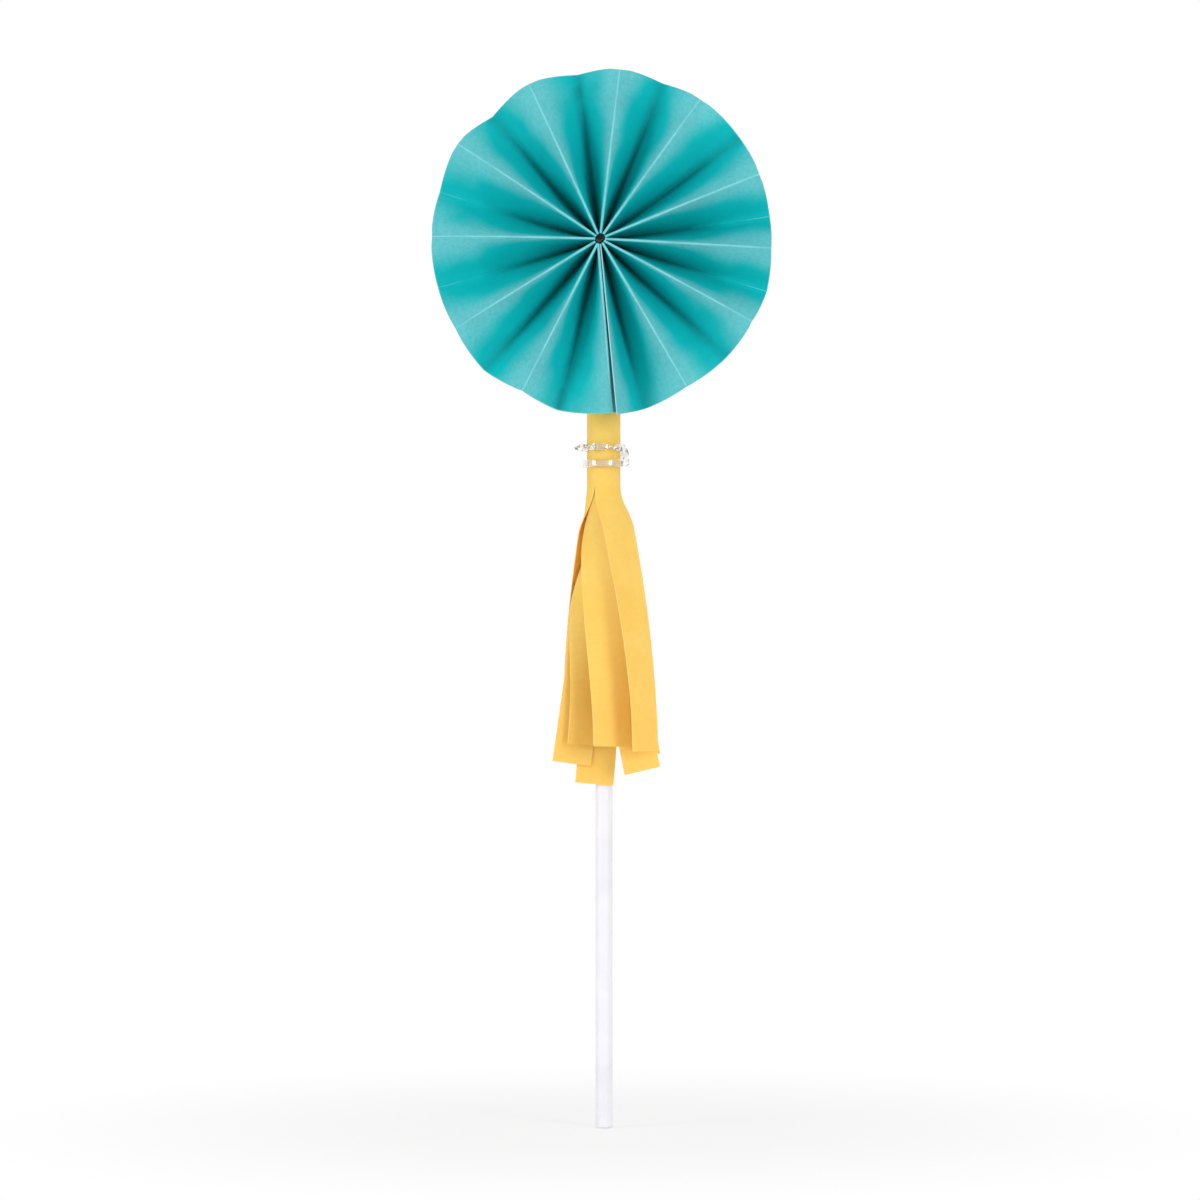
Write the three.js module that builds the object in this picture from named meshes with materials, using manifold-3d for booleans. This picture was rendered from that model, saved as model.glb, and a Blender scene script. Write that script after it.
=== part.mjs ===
// A paper fan cake topper: a pleated paper fan and a rolled paper tassel on a hollow plastic stick.
// Millimetres. +Z runs up the stick, -Y is the side that is looked at, +X is the viewer's right.
// The origin is the centre of the stick's lower tip, which goes down into the cake.
import * as THREE from "three";
import { mergeVertices } from "three/addons/utils/BufferGeometryUtils.js";
import Module from "manifold-3d";

const wasm = await Module();
wasm.setup();

// Driving sizes
const ASSEMBLY_GAP = 0.3; // left between pieces that are glued or pressed together

const STICK_LENGTH = 203;
const STICK_ABOVE_CENTRE = 6; // from the fan's centre up to the stick's end
const STICK_RADIUS = 1.8;
const STICK_BORE_RADIUS = 1.1;

const FAN_RADIUS = 38; // to the outer ends of the ridges
const FAN_HOLE_RADIUS = 2; // the small hole that the gathered folds leave
const FAN_SIDE_SHIFT = -0.9; // the fan is glued a little to the left of the stick
const FAN_PAPER = 0.2;
const FAN_RIM_DEPTH = 5.6; // front to back, of a pleat of average width
const FAN_LEAST_RIM_DEPTH = 2;
const FAN_RIDGE_SHARE = 0.25; // how much of the lost depth the ridges give up, the valleys give the rest
const FAN_PANEL_BOW = 0.35; // how far a panel bulges near the rim
const FOLD_OUTSIDE = 1.2; // how far a fold's outer side reaches, in half thicknesses of the paper
const FAN_STATIONS = [0, 0.06, 0.16, 0.3, 0.45, 0.6, 0.73, 0.84, 0.93, 1]; // shares of the way out

// Clockwise from the top, in degrees, from the cut edge at the seam round to the glue tab.
const CUT_EDGE_ANGLE = 174.5;
const VALLEY_ANGLES = [165.5, 132.5, 106.8, 81.8, 53.8, 21.6, -7.8, -41, -73.2, -106.3, -138.2, -166];
const RIDGE_ANGLES = [149.5, 118.1, 93, 67.6, 35.4, 6.6, -24.4, -55.8, -88.6, -121.5, -152.9];
const SEAM_STEP = 0.5; // from the cut edge to the seam's fold, at the hole
const SEAM_STEP_GROWTH = 0.012; // and how it widens per millimetre of radius
const TAB_LEAST_WIDTH = 0.5;
const TAB_WIDTH = 8;
const TAB_SHARE = 0.8; // the most of the first panel's width that the tab takes
const TAB_FULL_AT = 0.8; // share of the way out at which it has its full width

const TAPE_THICKNESS = 0.1;
const TAPE_WIDTH = 5;
const TAPE_START_RADIUS = 12;
const TAPE_END_MARGIN = 2.5;
const TAPE_EDGE_MARGIN = 1.2;

const HUB_GLUE_RADIUS = 5;
const HUB_GLUE_THICKNESS = 0.5;
const HUB_GLUE_PIP_RADIUS = 1.2;
const HUB_GLUE_PIP_HEIGHT = 4;
const HUB_GLUE_PIP_TAPER = 0.75;
const HUB_GLUE_PIP_CROWN = 0.3;
const DISC_RADIUS = 12.5;
const DISC_THICKNESS = 0.4;
const STICK_GLUE_HALF = { x: 4.4, y: 5.2, z: 9.5 };
const STICK_GLUE_TOP_MARGIN = 9; // from the stick's upper end down to the middle of the dab

const ROLL_RADIUS = 3.75; // of the paper's middle at the free outer edge
const ROLL_PITCH = 0.36; // how much the radius shrinks in a turn
const ROLL_BEHIND_FAN = 2.5; // how far it reaches up behind the fan's rim
const ROLL_LENGTH = 18.5;
const ROLL_START_ANGLE = -112; // of the free edge, from the front towards the viewer's right
const ROLL_STEP = 15;
const TASSEL_PAPER = 0.2;
const STRIP_WIDTH = 8.6;
const FIRST_STRIP_WIDTH = 5.1; // the strip at the free edge is a narrow one
const SLIT_WIDTH = 0.25;
const STRIP_BEND = 0.14; // share of the length over which a strip bends away from the roll
const STRIP_FLATTENING = 0.96; // share of the roll's curve that a strip has lost where it is flat
const STRIP_LENGTH = 60;
const TASSEL_SPREAD = 10; // about how far the strips' ends are from the stick's axis
const SLOPE_STEP = 0.01; // share of a strip's length over which its slope is taken

const BAND_HALF_HEIGHT = 0.75;
const BAND_HALF_DEPTH = 0.35;
const BAND_ABOVE_BOTTOM = 6.7; // from the roll's lower end to halfway between its two loops
const BAND_LOOP_SPREAD = 1.8; // of each loop, up or down from there
const BAND_LOOP_SOFTNESS = 0.14; // how gently it passes from one loop to the other
const BAND_CROSSING_ANGLE = 108; // on the right, a little behind the stick
const BAND_CROSSING_GAP = 0.55;
const BAND_CROSSING_SHARE = 0.05; // of its length, over which it rises to pass over itself
const BAND_STEPS_PER_LOOP = 24;
const BAND_SIDES = 6;

// Each strip, outermost first: its end [x, y] in shares of the spread, the way its end faces, its length in
// strip lengths, how far it bulges on its way, and at which share of its length it has turned to its
// end's way and lies flat.
const STRIPS = [
  { end: [-0.774, 0.571], facing: -121, length: 0.901, bulge: 0.32, turned: 0.19, flat: 0.16 },
  { end: [0.918, -1.345], facing: 49, length: 0.999, bulge: 0.25, turned: 0.9, flat: 0.17 },
  { end: [0.405, 1.063], facing: 179, length: 0.955, bulge: 0.6, turned: 0.82, flat: 0.37 },
  { end: [0.178, -1.144], facing: 18, length: 0.973, bulge: 0.11, turned: 1.0, flat: 0.29 },
  { end: [0.973, 0.447], facing: 131, length: 1.003, bulge: -0.07, turned: 0.59, flat: 0.36 },
  { end: [-0.394, -0.44], facing: 14, length: 0.959, bulge: 0.08, turned: 0.9, flat: 0.47 },
  { end: [0.841, -0.916], facing: -21, length: 1.064, bulge: -0.06, turned: 0.88, flat: 0.81 },
  { end: [-0.727, -0.327], facing: 4, length: 1.031, bulge: -0.02, turned: 0.73, flat: 0.43 },
  { end: [0.502, -0.19], facing: 89, length: 0.945, bulge: 0.03, turned: 0.95, flat: 0.79 },
  { end: [-0.218, -0.234], facing: 4, length: 1.103, bulge: -0.39, turned: 0.9, flat: 0.89 },
];

const rad = THREE.MathUtils.degToRad;
const steps = (count) => Array.from({ length: count + 1 }, (_, i) => i / count);

const teal = 0x1fb0b3;
const yellow = 0xf7cd6b;
const paper = (color) => new THREE.MeshStandardMaterial({ color, roughness: 0.85, metalness: 0 });
const glue = () => new THREE.MeshStandardMaterial({ color: 0xe9e4d4, roughness: 0.35, metalness: 0 });
const clear = (color) => new THREE.MeshStandardMaterial({ color, roughness: 0.2, metalness: 0 });

// Geometry helpers
// A closed geometry from points and triangles, turned so that its faces point outwards.
function closedGeometry(points, triangles) {
  const volume = triangles.reduce(
    (sum, [a, b, c]) => sum + points[a].dot(new THREE.Vector3().crossVectors(points[b], points[c])),
    0,
  );
  const facing = volume < 0 ? triangles.map(([a, b, c]) => [a, c, b]) : triangles;
  return new THREE.BufferGeometry().setFromPoints(points).setIndex(facing.flat());
}

// A thin sheet: two grids of points, grid[i][j], joined round their four edges.
function sheetGeometry(front, back) {
  const rows = front.length;
  const columns = front[0].length;
  const points = [...front.flat(), ...back.flat()];
  const triangles = [];
  const at = (side, i, j) => side * rows * columns + i * columns + j;
  const quad = (a, b, c, d) => triangles.push([a, b, c], [a, c, d]);
  for (let i = 0; i + 1 < rows; i++) {
    for (let j = 0; j + 1 < columns; j++) {
      quad(at(0, i, j), at(0, i + 1, j), at(0, i + 1, j + 1), at(0, i, j + 1));
      quad(at(1, i, j), at(1, i, j + 1), at(1, i + 1, j + 1), at(1, i + 1, j));
    }
    quad(at(0, i + 1, 0), at(0, i, 0), at(1, i, 0), at(1, i + 1, 0));
    quad(at(0, i, columns - 1), at(0, i + 1, columns - 1), at(1, i + 1, columns - 1), at(1, i, columns - 1));
  }
  for (let j = 0; j + 1 < columns; j++) {
    quad(at(0, 0, j), at(0, 0, j + 1), at(1, 0, j + 1), at(1, 0, j));
    quad(at(0, rows - 1, j + 1), at(0, rows - 1, j), at(1, rows - 1, j), at(1, rows - 1, j + 1));
  }
  return closedGeometry(points, triangles);
}

// A tube through rings of points, whose last ring joins its first.
function ringGeometry(rings) {
  const sides = rings[0].length;
  const triangles = rings.flatMap((_, i) =>
    rings[0].flatMap((_, j) => {
      const next = ((i + 1) % rings.length) * sides;
      const k = (j + 1) % sides;
      return [
        [i * sides + j, i * sides + k, next + k],
        [i * sides + j, next + k, next + j],
      ];
    }),
  );
  return closedGeometry(rings.flat(), triangles);
}

// Prints how near a wound tube comes to itself, between rings that are not neighbours along it.
function reportLeastGap(name, rings, neighbours) {
  let least = Infinity;
  rings.forEach((ring, i) =>
    rings.slice(i + 1).forEach((other, step) => {
      const apart = Math.min(step + 1, rings.length - step - 1);
      if (apart < neighbours) return;
      for (const a of ring) for (const b of other) least = Math.min(least, a.distanceTo(b));
    }),
  );
  console.log(`${name}: least gap to itself ${least.toFixed(2)} mm`);
}

function solidOf(geometry) {
  const bare = geometry.clone();
  bare.deleteAttribute("normal");
  bare.deleteAttribute("uv");
  const merged = mergeVertices(bare, 1e-4);
  return new wasm.Manifold(
    new wasm.Mesh({
      numProp: 3,
      vertProperties: merged.attributes.position.array,
      triVerts: new Uint32Array(merged.index.array),
    }),
  );
}

function geometryOf(solid) {
  const mesh = solid.getMesh();
  return new THREE.BufferGeometry()
    .setAttribute("position", new THREE.BufferAttribute(mesh.vertProperties, mesh.numProp))
    .setIndex(new THREE.BufferAttribute(mesh.triVerts, 1));
}

function piece(name, geometry, material) {
  const mesh = new THREE.Mesh(geometry, material);
  mesh.name = name;
  return mesh;
}

// Where the fan, the roll and the band sit on the stick
const fanCentreHeight = STICK_LENGTH - STICK_ABOVE_CENTRE;
const rollBottom = fanCentreHeight - FAN_RADIUS + ROLL_BEHIND_FAN - ROLL_LENGTH;
const bandHeight = rollBottom + BAND_ABOVE_BOTTOM;

// Where the layers lie behind each other, from the stick forwards
const discBack = -(STICK_RADIUS + ASSEMBLY_GAP);
const discFront = discBack - DISC_THICKNESS;
const hubGlueBack = discFront - ASSEMBLY_GAP;
const hubGlueFront = hubGlueBack - HUB_GLUE_THICKNESS;

// The stick
function stick() {
  const profile = [
    new THREE.Vector2(STICK_BORE_RADIUS, 0),
    new THREE.Vector2(STICK_RADIUS, 0),
    new THREE.Vector2(STICK_RADIUS, STICK_LENGTH),
    new THREE.Vector2(STICK_BORE_RADIUS, STICK_LENGTH),
    new THREE.Vector2(STICK_BORE_RADIUS, 0),
  ];
  const geometry = new THREE.LatheGeometry(profile, 24).rotateX(Math.PI / 2);
  return piece("stick", geometry, clear(0xf1f0f5));
}

// The fan: one strip of paper folded into panels, whose width is the same from hole to rim
const meanPanelAngle = rad(360 / (2 * VALLEY_ANGLES.length));
const chord = (radius, angle) => 2 * radius * Math.sin(angle / 2);
const panelWidth = Math.hypot(chord(FAN_RADIUS, meanPanelAngle), FAN_RIM_DEPTH);
const fanFront = hubGlueFront - ASSEMBLY_GAP - FAN_PAPER - panelWidth;

// A pleat's depth where its two panels span this angle: what the panel's width leaves at that radius.
function pleatDepth(radius, angle) {
  const left = panelWidth ** 2 - chord(radius, angle) ** 2;
  return Math.sqrt(Math.max(left, FAN_LEAST_RIM_DEPTH ** 2));
}

// The strip's folds in order: the cut edge, a valley, a ridge and so on, to the seam's fold.
const foldAngles = [CUT_EDGE_ANGLE];
VALLEY_ANGLES.forEach((valley, i) => foldAngles.push(valley, RIDGE_ANGLES[i] ?? CUT_EDGE_ANGLE - 360));

function foldPoint(index, share) {
  const last = foldAngles.length - 1;
  const before = foldAngles[Math.max(index - 1, 0)];
  const after = foldAngles[Math.min(index + 1, last)];
  const between = rad(before - after) / (index === 0 || index === last ? 1 : 2);
  const isValley = index % 2 === 1;
  const lossAt = (radius) => panelWidth - pleatDepth(radius, between);
  const lossShare = isValley ? 1 - FAN_RIDGE_SHARE : FAN_RIDGE_SHARE;
  const foldLength = FAN_RADIUS - FAN_HOLE_RADIUS;
  const reach = Math.sqrt(foldLength ** 2 - (lossShare * lossAt(FAN_RADIUS)) ** 2);
  const radius = FAN_HOLE_RADIUS + share * reach;
  const loss = lossShare * lossAt(radius);
  const seamStep = index === last ? SEAM_STEP + SEAM_STEP_GROWTH * radius : 0;
  return {
    along: -rad(foldAngles[index]) * radius - seamStep,
    depth: isValley ? panelWidth - loss : loss,
    radius,
  };
}

// The paper's middle line across all panels at one share of the way out: folds, and bowed panel middles.
function fanProfile(share) {
  const profile = [];
  for (let i = 0; i + 1 < foldAngles.length; i++) {
    const a = foldPoint(i, share);
    const b = foldPoint(i + 1, share);
    const bow = FAN_PANEL_BOW * share ** 2;
    profile.push(a, {
      along: (a.along + b.along) / 2,
      depth: (a.depth + b.depth) / 2 - bow,
      radius: (a.radius + b.radius) / 2,
    });
  }
  profile.push(foldPoint(foldAngles.length - 1, share));
  return profile;
}

// The direction of the first panel, from its cut edge to its valley, which the glue tab follows.
function firstPanelDirection(share) {
  const a = foldPoint(0, share);
  const b = foldPoint(1, share);
  const length = Math.hypot(b.along - a.along, b.depth - a.depth);
  return { along: (b.along - a.along) / length, depth: (b.depth - a.depth) / length, length };
}

// Moves a line sideways by a distance. A fold keeps its thickness inside, and is pressed sharp outside.
function offsetLine(line, distance) {
  return line.map((point, i) => {
    const from = line[Math.max(i - 1, 0)];
    const to = line[Math.min(i + 1, line.length - 1)];
    const inLength = Math.hypot(point.along - from.along, point.depth - from.depth) || 1;
    const outLength = Math.hypot(to.along - point.along, to.depth - point.depth) || 1;
    let before = [(point.along - from.along) / inLength, (point.depth - from.depth) / inLength];
    let after = [(to.along - point.along) / outLength, (to.depth - point.depth) / outLength];
    if (i === 0) before = after;
    if (i === line.length - 1) after = before;
    const sum = [-before[1] - after[1], before[0] + after[0]];
    const length = Math.hypot(...sum);
    const cosine = (sum[0] * -before[1] + sum[1] * before[0]) / length;
    const turn = before[0] * after[1] - before[1] * after[0];
    const outside = turn * distance < 0;
    const reach = outside ? distance * Math.min(1 / cosine, FOLD_OUTSIDE) : distance / cosine;
    return {
      along: point.along + (sum[0] / length) * reach,
      depth: point.depth + (sum[1] / length) * reach,
      radius: point.radius,
    };
  });
}

function fanVector({ along, depth, radius }, meanRadius) {
  const angle = -along / meanRadius;
  return new THREE.Vector3(
    FAN_SIDE_SHIFT + radius * Math.sin(angle),
    fanFront + depth,
    fanCentreHeight + radius * Math.cos(angle),
  );
}

// Sheets made of lines at several shares of the way out, given as a function of the share.
function foldedSheet(shares, lineAt, thickness) {
  const side = (distance) => {
    const lines = shares.map((share) => {
      const line = lineAt(share);
      return offsetLine(line, distance).map((point) => fanVector(point, point.radius));
    });
    return lines[0].map((_, i) => lines.map((line) => line[i]));
  };
  return sheetGeometry(side(-thickness / 2), side(thickness / 2));
}

function pleatedFan() {
  const lineAt = (share) => {
    const line = fanProfile(share);
    const seam = line.at(-1);
    const direction = firstPanelDirection(share);
    const widest = Math.min(TAB_WIDTH, TAB_SHARE * direction.length);
    const width = TAB_LEAST_WIDTH + (widest - TAB_LEAST_WIDTH) * Math.min(share / TAB_FULL_AT, 1);
    line.push({
      along: seam.along + direction.along * width,
      depth: seam.depth + direction.depth * width,
      radius: seam.radius,
    });
    return line;
  };
  return piece("pleated_fan", foldedSheet(FAN_STATIONS, lineAt, FAN_PAPER), paper(teal));
}

// The double-sided tape between the first panel and the glue tab behind it.
function seamTape() {
  const reach = FAN_RADIUS - FAN_HOLE_RADIUS;
  const start = (TAPE_START_RADIUS - FAN_HOLE_RADIUS) / reach;
  const end = 1 - TAPE_END_MARGIN / reach;
  const lineAt = (share) => {
    const edge = foldPoint(0, share);
    const direction = firstPanelDirection(share);
    const lift = (FAN_PAPER + TAPE_THICKNESS) / 2 + ASSEMBLY_GAP;
    const at = (distance) => ({
      along: edge.along + direction.along * distance - direction.depth * lift,
      depth: edge.depth + direction.depth * distance + direction.along * lift,
      radius: edge.radius,
    });
    return [at(TAPE_EDGE_MARGIN), at(TAPE_EDGE_MARGIN + TAPE_WIDTH)];
  };
  const shares = steps(4).map((t) => start + t * (end - start));
  return piece("seam_tape", foldedSheet(shares, lineAt, TAPE_THICKNESS), clear(0xf4f1e6));
}

// What holds the fan on the stick
// The glue pad behind the folds, with a pip that rose into the fan's hole.
function hubGlue() {
  const profile = [
    new THREE.Vector2(0, 0),
    new THREE.Vector2(HUB_GLUE_RADIUS, 0),
    new THREE.Vector2(HUB_GLUE_RADIUS, HUB_GLUE_THICKNESS),
    new THREE.Vector2(HUB_GLUE_PIP_RADIUS, HUB_GLUE_THICKNESS),
    new THREE.Vector2(HUB_GLUE_PIP_RADIUS * HUB_GLUE_PIP_TAPER, HUB_GLUE_PIP_HEIGHT),
    new THREE.Vector2(0, HUB_GLUE_PIP_HEIGHT + HUB_GLUE_PIP_CROWN),
  ];
  const geometry = new THREE.LatheGeometry(profile, 20).rotateX(Math.PI);
  geometry.translate(FAN_SIDE_SHIFT, hubGlueBack, fanCentreHeight);
  return piece("hub_glue", geometry, glue());
}

function backingDisc() {
  const geometry = new THREE.CylinderGeometry(DISC_RADIUS, DISC_RADIUS, DISC_THICKNESS, 48);
  geometry.translate(FAN_SIDE_SHIFT, (discBack + discFront) / 2, fanCentreHeight);
  return piece("backing_disc", geometry, paper(teal));
}

// A dab of glue on the disc that closes over the end of the stick.
function stickGlue() {
  const centre = STICK_LENGTH - STICK_GLUE_TOP_MARGIN;
  const dab = new THREE.SphereGeometry(1, 20, 12);
  dab.scale(STICK_GLUE_HALF.x, STICK_GLUE_HALF.y, STICK_GLUE_HALF.z);
  dab.translate(0, discBack, centre);
  const room = 2 * STICK_GLUE_HALF.z;
  const inFront = new THREE.BoxGeometry(4 * STICK_GLUE_HALF.x, room, 2 * room);
  inFront.translate(0, discBack + ASSEMBLY_GAP - room / 2, centre);
  const tunnel = new THREE.CylinderGeometry(1, 1, 2 * room, 24).rotateX(Math.PI / 2);
  tunnel.scale(STICK_RADIUS + ASSEMBLY_GAP, STICK_RADIUS + ASSEMBLY_GAP, 1);
  tunnel.translate(0, 0, centre);
  const solid = solidOf(dab).subtract(solidOf(inFront)).subtract(solidOf(tunnel));
  return piece("stick_glue", geometryOf(solid), glue());
}

// The tassel: a fringed sheet of paper rolled round the stick
const rollRadius = (degrees) => ROLL_RADIUS - (ROLL_PITCH * (degrees - ROLL_START_ANGLE)) / 360;

// Where each strip's cut starts and ends round the roll, found by walking its width along the spiral.
const stripRoots = [];
for (let k = 0, from = ROLL_START_ANGLE; k < STRIPS.length; k++) {
  const width = k === 0 ? FIRST_STRIP_WIDTH : STRIP_WIDTH;
  const guess = from + THREE.MathUtils.radToDeg(width / rollRadius(from));
  const radius = rollRadius((from + guess) / 2);
  const to = from + THREE.MathUtils.radToDeg(width / radius);
  stripRoots.push({ centre: (from + to) / 2, radius, width: width - SLIT_WIDTH, to });
  from = to;
}
const ROLL_END_ANGLE = stripRoots.at(-1).to;

const roundRoll = (radius, degrees) => [radius * Math.sin(rad(degrees)), -radius * Math.cos(rad(degrees))];

function tasselRoll() {
  const count = Math.round((ROLL_END_ANGLE - ROLL_START_ANGLE) / ROLL_STEP);
  const angles = steps(count).map((t) => ROLL_START_ANGLE + t * (ROLL_END_ANGLE - ROLL_START_ANGLE));
  const edge = (side) =>
    angles.map((a) => new THREE.Vector2(...roundRoll(rollRadius(a) + (side * TASSEL_PAPER) / 2, a)));
  const shape = new THREE.Shape([...edge(1), ...edge(-1).reverse()]);
  const geometry = new THREE.ExtrudeGeometry(shape, { depth: ROLL_LENGTH, bevelEnabled: false });
  geometry.translate(0, 0, rollBottom);
  return piece("tassel_roll", geometry, paper(yellow));
}

// How far a strip has spread towards its end, after a share t of its length.
function spreadShare(t, bulge) {
  const softened = (value) => Math.hypot(value, STRIP_BEND) - STRIP_BEND;
  return softened(t) / softened(1) + (4 * bulge * (1 - t) * t ** 2) / (t + STRIP_BEND / 2);
}

// A strip starts as the roll's own curve, turns round the stick and flattens as it spreads away from it.
function strip(index) {
  const { facing, bulge, turned, flat } = STRIPS[index];
  const length = STRIPS[index].length * STRIP_LENGTH;
  const end = STRIPS[index].end.map((share) => share * TASSEL_SPREAD);
  const root = stripRoots[index];
  const top = rollBottom - ASSEMBLY_GAP;
  const startFacing = root.centre - 360 * Math.round((root.centre - facing) / 360);
  const facingAt = (t) => startFacing + (facing - startFacing) * THREE.MathUtils.smoothstep(t, 0, turned);
  const [startX, startY] = roundRoll(root.radius, startFacing);
  const [endX, endY] = roundRoll(root.radius, facing);
  const drop = Math.sqrt(length ** 2 - (end[0] - startX) ** 2 - (end[1] - startY) ** 2);
  const centreAt = (t) => {
    const share = spreadShare(t, bulge);
    const [x, y] = roundRoll(root.radius, facingAt(t));
    return new THREE.Vector3(x + share * (end[0] - endX), y + share * (end[1] - endY), top - t * drop);
  };
  const sections = steps(12).map((t) => {
    const ahead = centreAt(Math.min(t + SLOPE_STEP, 1)).sub(centreAt(Math.max(t - SLOPE_STEP, 0)));
    const down = t === 0 ? new THREE.Vector3(0, 0, -1) : ahead.normalize();
    const turn = rad(facingAt(t));
    const across = new THREE.Vector3(Math.sin(turn), -Math.cos(turn), 0).cross(down).normalize();
    const outward = new THREE.Vector3().crossVectors(down, across);
    const opened = THREE.MathUtils.smoothstep(t, 0, flat);
    const curvature = (1 - STRIP_FLATTENING * opened) / root.radius;
    const tightening = ((1 - opened) * ROLL_PITCH) / (2 * Math.PI);
    return { centre: centreAt(t), across, outward, curvature, tightening };
  });
  const side = (offset) =>
    steps(8).map((share) =>
      sections.map(({ centre, across, outward, curvature, tightening }) => {
        const bend = curvature * (share - 0.5) * root.width;
        const reach = 1 / curvature + offset - tightening * bend;
        return centre
          .clone()
          .addScaledVector(across, reach * Math.sin(bend))
          .addScaledVector(outward, reach * Math.cos(bend) - 1 / curvature);
      }),
    );
  const geometry = sheetGeometry(side(TASSEL_PAPER / 2), side(-TASSEL_PAPER / 2));
  return piece(`tassel_strip_${String(index + 1).padStart(2, "0")}`, geometry, paper(yellow));
}

// The clear elastic band: one closed loop put twice round the roll, so that it crosses itself
function elasticBand() {
  const reach = ROLL_RADIUS + TASSEL_PAPER / 2 + ASSEMBLY_GAP + BAND_HALF_DEPTH;
  const ringCount = 2 * BAND_STEPS_PER_LOOP;
  const rings = steps(ringCount).slice(0, ringCount).map((t) => {
    const wave = Math.sin(2 * Math.PI * t);
    const level = (wave * Math.hypot(1, BAND_LOOP_SOFTNESS)) / Math.hypot(wave, BAND_LOOP_SOFTNESS);
    const lift = Math.exp(-((Math.min(t, 1 - t) / BAND_CROSSING_SHARE) ** 2));
    const radius = reach + (2 * BAND_HALF_DEPTH + BAND_CROSSING_GAP) * lift;
    return steps(BAND_SIDES).slice(0, BAND_SIDES).map((side) => {
      const turn = 2 * Math.PI * side;
      const [x, y] = roundRoll(radius + BAND_HALF_DEPTH * Math.cos(turn), BAND_CROSSING_ANGLE + 720 * t);
      const z = bandHeight + BAND_LOOP_SPREAD * level + BAND_HALF_HEIGHT * Math.sin(turn);
      return new THREE.Vector3(x, y, z);
    });
  });
  reportLeastGap("elastic_band", rings, BAND_STEPS_PER_LOOP / 3);
  return piece("elastic_band", ringGeometry(rings), clear(0xf5f3f0));
}

const topper = new THREE.Group();
topper.name = "paper_fan_cake_topper";
topper.add(stick(), backingDisc(), hubGlue(), stickGlue(), pleatedFan(), seamTape());
topper.add(tasselRoll(), elasticBand(), ...STRIPS.map((_, index) => strip(index)));

export default topper;
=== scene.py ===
import math

import bmesh
import bpy
import numpy as np
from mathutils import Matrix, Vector


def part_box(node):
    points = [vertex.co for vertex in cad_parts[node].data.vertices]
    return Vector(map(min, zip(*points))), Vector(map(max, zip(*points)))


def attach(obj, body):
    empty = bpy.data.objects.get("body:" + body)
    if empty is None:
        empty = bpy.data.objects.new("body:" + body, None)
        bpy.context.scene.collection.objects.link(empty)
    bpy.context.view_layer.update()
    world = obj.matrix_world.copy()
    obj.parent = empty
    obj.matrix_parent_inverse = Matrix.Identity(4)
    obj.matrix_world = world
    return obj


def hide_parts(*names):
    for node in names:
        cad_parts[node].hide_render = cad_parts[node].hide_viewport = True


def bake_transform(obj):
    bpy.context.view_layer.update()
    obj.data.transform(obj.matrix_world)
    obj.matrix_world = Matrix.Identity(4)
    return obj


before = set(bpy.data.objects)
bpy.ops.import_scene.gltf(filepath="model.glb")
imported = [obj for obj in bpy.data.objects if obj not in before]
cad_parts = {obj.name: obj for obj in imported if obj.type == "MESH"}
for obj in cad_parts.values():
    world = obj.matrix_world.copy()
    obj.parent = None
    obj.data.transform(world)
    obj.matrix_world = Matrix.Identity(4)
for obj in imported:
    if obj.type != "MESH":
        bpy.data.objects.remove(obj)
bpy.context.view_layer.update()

# A paper fan cake topper: teal pleated fan, yellow paper tassel, milky plastic stick.
# Sizes in the dictionaries are millimetres and degrees, except in the studio's; meshes are made in metres.
mm = 0.001


# Camera

camera = {"lens": 150.0, "distance": 1115.0, "height": 117.5, "side": -0.9}

cameraData = bpy.data.cameras.new("camera")
cameraData.lens = camera["lens"]
cameraData.sensor_width = 36.0
cameraData.clip_start, cameraData.clip_end = 0.02, 20.0
cameraObject = bpy.data.objects.new("camera", cameraData)
cameraObject.location = (camera["side"] * mm, -camera["distance"] * mm, camera["height"] * mm)
cameraObject.rotation_euler = (math.pi / 2, 0, 0)
bpy.context.scene.collection.objects.link(cameraObject)
bpy.context.scene.camera = cameraObject
print("camera placed")


# Mesh helpers

def gridFaces(rows, columns, offset=0, flip=False, wrapColumns=False):
    # quads between neighbouring points of a grid that is stored row by row
    lastColumn = columns if wrapColumns else columns - 1
    i, j = np.meshgrid(np.arange(rows - 1), np.arange(lastColumn), indexing="ij")
    k = (j + 1) % columns
    quads = np.stack([i * columns + j, (i + 1) * columns + j, (i + 1) * columns + k, i * columns + k], -1)
    quads = quads.reshape(-1, 4) + offset
    return quads[:, ::-1] if flip else quads


def makePiece(name, points, faces, materials, uv=None, materialIndex=None, sharpAngle=50):
    # points in millimetres, faces as arrays of quads, uv per point in metres along the real sheet
    mesh = bpy.data.meshes.new(name)
    mesh.from_pydata((np.asarray(points, float).reshape(-1, 3) * mm).tolist(), [], faces.tolist())
    for material in materials:
        mesh.materials.append(material)
    if uv is not None:
        corner = np.zeros(len(mesh.loops), np.int32)
        mesh.loops.foreach_get("vertex_index", corner)
        layer = mesh.uv_layers.new(name="sheet")
        layer.data.foreach_set("uv", np.asarray(uv, np.float32).reshape(-1, 2)[corner].ravel())
    if materialIndex is not None:
        mesh.polygons.foreach_set("material_index", np.asarray(materialIndex, np.int32))
    mesh.polygons.foreach_set("use_smooth", np.ones(len(mesh.polygons), bool))
    mesh.set_sharp_from_angle(angle=math.radians(sharpAngle))
    mesh.validate()
    mesh.update()
    piece = bpy.data.objects.new(name, mesh)
    bpy.context.scene.collection.objects.link(piece)
    return piece


def gridNormals(grid):
    # the cross product of the two directions in which the grid runs
    alongRows = np.gradient(grid, axis=0)
    alongColumns = np.gradient(grid, axis=1)
    normals = np.cross(alongRows, alongColumns)
    return normals / np.linalg.norm(normals, axis=-1, keepdims=True)


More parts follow.
